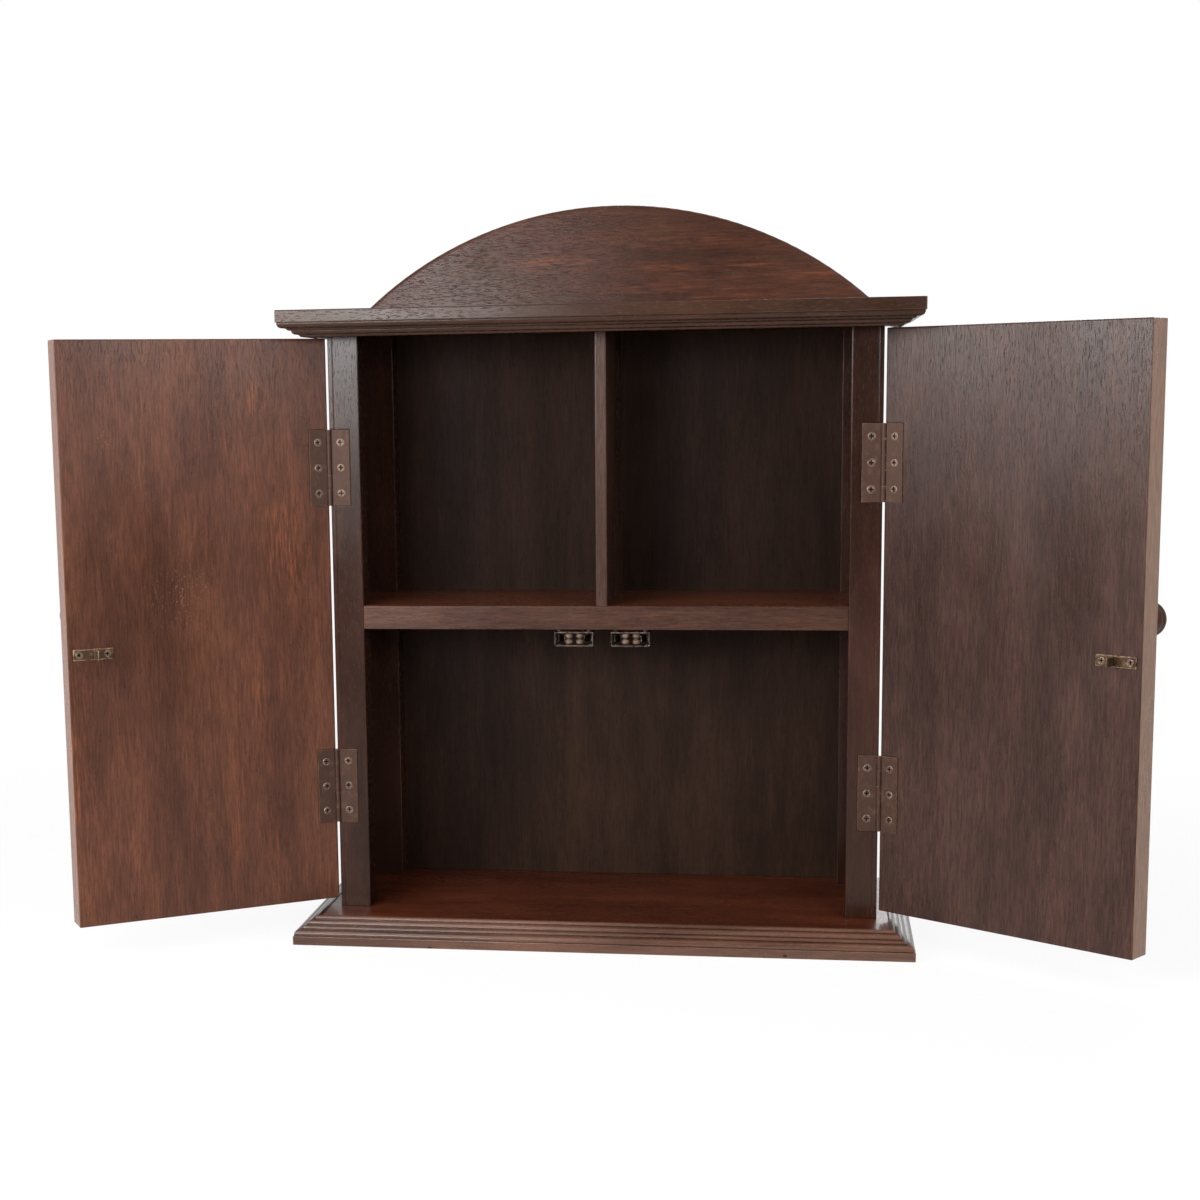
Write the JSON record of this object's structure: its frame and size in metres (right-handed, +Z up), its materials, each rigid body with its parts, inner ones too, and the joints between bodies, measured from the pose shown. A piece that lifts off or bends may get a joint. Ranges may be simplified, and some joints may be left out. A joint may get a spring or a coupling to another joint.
{
  "type": "wall cabinet",
  "caption": "Hanging wooden wall cabinet with an arched crest, reeded base and cornice, hinged doors that shut on roller catches, a shelf and a divider.",
  "frame": {"origin": "the middle of the base board's underside, over the full depth of the mouldings", "axes": "+X to the right seen from the front, +Y from the front to the wall, +Z up"},
  "size_m": [0.8846, 0.2827, 0.624],
  "materials": {
    "carcass_wood": "dark stain, satin",
    "door_wood": "dark stain, satin",
    "moulding_wood": "dark stain, satin",
    "panel_wood": "dark stain, matt",
    "knob_wood": "turned, satin",
    "hinge_bronze": "dark bronze, worn",
    "strike_brass": "antique brass",
    "roller_brass": "satin",
    "catch_steel": "thin sheet",
    "screw_steel": "worn heads"
  },
  "bodies": {
    "cabinet": {"back_panel": "panel_wood", "back_panel_nails": "screw_steel", "base_board": "carcass_wood", "base_front_moulding": "moulding_wood", "base_left_moulding": "moulding_wood", "base_right_moulding": "moulding_wood", "base_screws": "screw_steel", "catch_screws": "screw_steel", "cornice_front_moulding": "moulding_wood", "cornice_left_moulding": "moulding_wood", "cornice_right_moulding": "moulding_wood", "crest_board": "carcass_wood", "crest_screws": "screw_steel", "divider": "carcass_wood", "frame_leaf_screws": "screw_steel", "hinge_pins": "hinge_bronze", "left_catch_housing": "catch_steel", "left_catch_inner_spring": "catch_steel", "left_catch_outer_spring": "catch_steel", "left_front_stile": "carcass_wood", "left_lower_frame_leaf": "hinge_bronze", "left_rear_post": "carcass_wood", "left_side_panel": "panel_wood", "left_upper_frame_leaf": "hinge_bronze", "right_catch_housing": "catch_steel", "right_catch_inner_spring": "catch_steel", "right_catch_outer_spring": "catch_steel", "right_front_stile": "carcass_wood", "right_lower_frame_leaf": "hinge_bronze", "right_rear_post": "carcass_wood", "right_side_panel": "panel_wood", "right_upper_frame_leaf": "hinge_bronze", "shelf_board": "carcass_wood", "top_board": "carcass_wood", "top_screws": "screw_steel"},
    "left_door": {"left_door": "door_wood", "left_knob": "knob_wood", "left_strike": "strike_brass", "left_strike_screws": "screw_steel", "left_door_leaf_screws": "screw_steel", "left_lower_door_leaf": "hinge_bronze", "left_upper_door_leaf": "hinge_bronze"},
    "right_door": {"right_door": "door_wood", "right_knob": "knob_wood", "right_strike": "strike_brass", "right_strike_screws": "screw_steel", "right_door_leaf_screws": "screw_steel", "right_lower_door_leaf": "hinge_bronze", "right_upper_door_leaf": "hinge_bronze"},
    "left_catch_outer_pin": {"left_catch_outer_pin": "catch_steel"},
    "left_catch_outer_roller": {"left_catch_outer_roller": "roller_brass"},
    "left_catch_inner_pin": {"left_catch_inner_pin": "catch_steel"},
    "left_catch_inner_roller": {"left_catch_inner_roller": "roller_brass"},
    "right_catch_outer_pin": {"right_catch_outer_pin": "catch_steel"},
    "right_catch_outer_roller": {"right_catch_outer_roller": "roller_brass"},
    "right_catch_inner_pin": {"right_catch_inner_pin": "catch_steel"},
    "right_catch_inner_roller": {"right_catch_inner_roller": "roller_brass"}
  },
  "joints": [
    {"name": "left_door_hinge", "type": "hinge", "parent": "cabinet", "child": "left_door", "pos_m": [-0.2305, -0.0465, 0], "axis": [0, 0, -1], "range_deg": [-147, 33]},
    {"name": "right_door_hinge", "type": "hinge", "parent": "cabinet", "child": "right_door", "pos_m": [0.2305, -0.0465, 0], "axis": [0, 0, 1], "range_deg": [-144, 36]},
    {"name": "left_catch_outer_slide", "type": "slide", "parent": "cabinet", "child": "left_catch_outer_pin", "axis": [-1, 0, 0], "range_m": [0, 0.002], "stiffness_N_per_m": 400, "deforming": ["left_catch_outer_spring"]},
    {"name": "left_catch_outer_spin", "type": "hinge", "parent": "left_catch_outer_pin", "child": "left_catch_outer_roller", "pos_m": [-0.0285, -0.0385, 0.2563], "axis": [0, 0, 1], "continuous": true},
    {"name": "left_catch_inner_slide", "type": "slide", "parent": "cabinet", "child": "left_catch_inner_pin", "axis": [1, 0, 0], "range_m": [0, 0.002], "stiffness_N_per_m": 400, "deforming": ["left_catch_inner_spring"]},
    {"name": "left_catch_inner_spin", "type": "hinge", "parent": "left_catch_inner_pin", "child": "left_catch_inner_roller", "pos_m": [-0.0193, -0.0385, 0.2563], "axis": [0, 0, 1], "continuous": true},
    {"name": "right_catch_outer_slide", "type": "slide", "parent": "cabinet", "child": "right_catch_outer_pin", "axis": [1, 0, 0], "range_m": [0, 0.002], "stiffness_N_per_m": 400, "deforming": ["right_catch_outer_spring"]},
    {"name": "right_catch_outer_spin", "type": "hinge", "parent": "right_catch_outer_pin", "child": "right_catch_outer_roller", "pos_m": [0.0285, -0.0385, 0.2563], "axis": [0, 0, 1], "continuous": true},
    {"name": "right_catch_inner_slide", "type": "slide", "parent": "cabinet", "child": "right_catch_inner_pin", "axis": [-1, 0, 0], "range_m": [0, 0.002], "stiffness_N_per_m": 400, "deforming": ["right_catch_inner_spring"]},
    {"name": "right_catch_inner_spin", "type": "hinge", "parent": "right_catch_inner_pin", "child": "right_catch_inner_roller", "pos_m": [0.0193, -0.0385, 0.2563], "axis": [0, 0, 1], "continuous": true}
  ]
}
